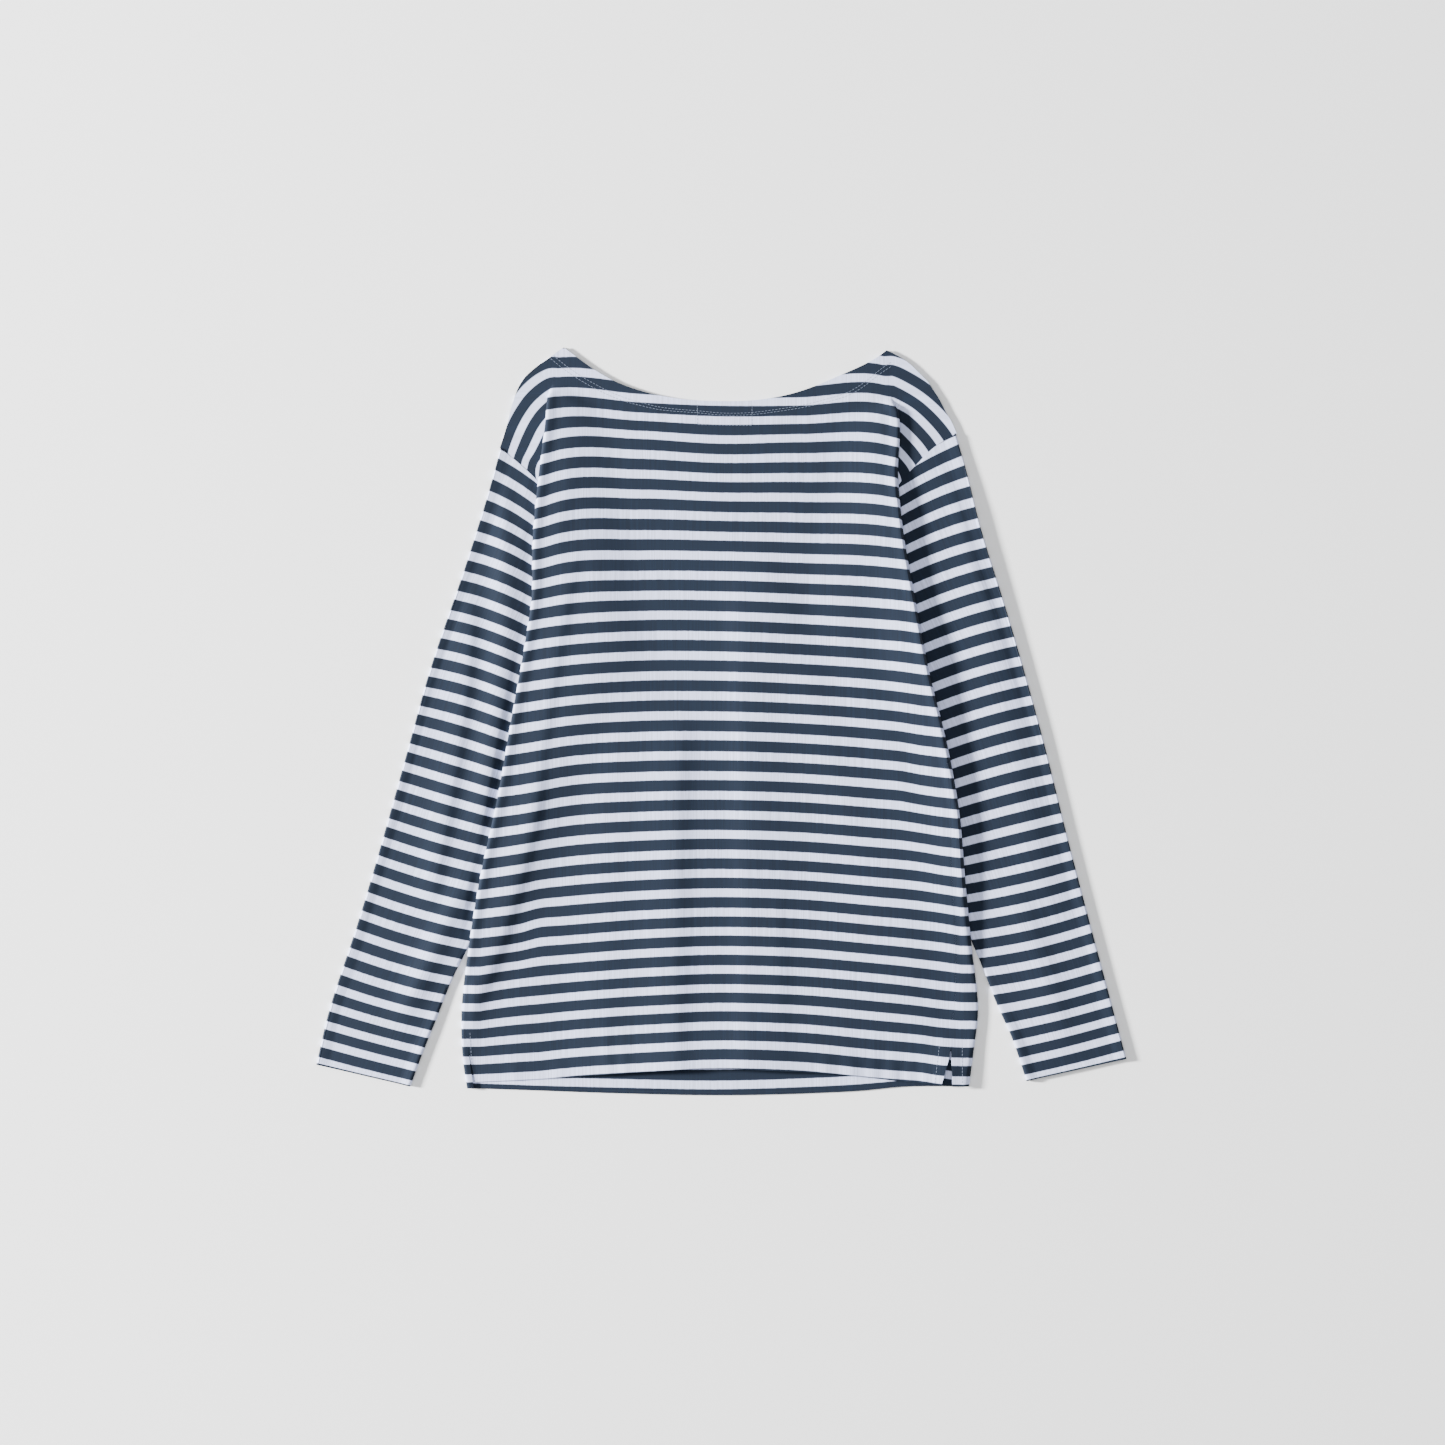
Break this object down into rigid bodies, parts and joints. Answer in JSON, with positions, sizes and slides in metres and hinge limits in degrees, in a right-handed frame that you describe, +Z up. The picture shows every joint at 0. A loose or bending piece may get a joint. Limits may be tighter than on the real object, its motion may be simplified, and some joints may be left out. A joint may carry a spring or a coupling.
{
  "type": "striped jersey top",
  "caption": "Boat-neck long-sleeved jersey top with even navy and white stripes, laid flat with its back up and its sleeves tucked under the body.",
  "frame": {"origin": "centre of the footprint on the surface that the top lies on", "axes": "+X across the body towards the sleeve at the right of the picture, +Y from the hem to the neck, +Z up out of the cloth"},
  "size_m": [0.7449, 0.6874, 0.0096],
  "materials": {
    "back_jersey": "matt cotton jersey, even navy and white stripes",
    "front_jersey": "matt cotton jersey, even navy and white stripes",
    "left_sleeve_jersey": "matt cotton jersey, even navy and white stripes",
    "right_sleeve_jersey": "matt cotton jersey, even navy and white stripes"
  },
  "bodies": {
    "root": {"back_panel": "back_jersey", "front_panel": "front_jersey", "left_sleeve": "left_sleeve_jersey", "right_sleeve": "right_sleeve_jersey"}
  },
  "joints": []
}
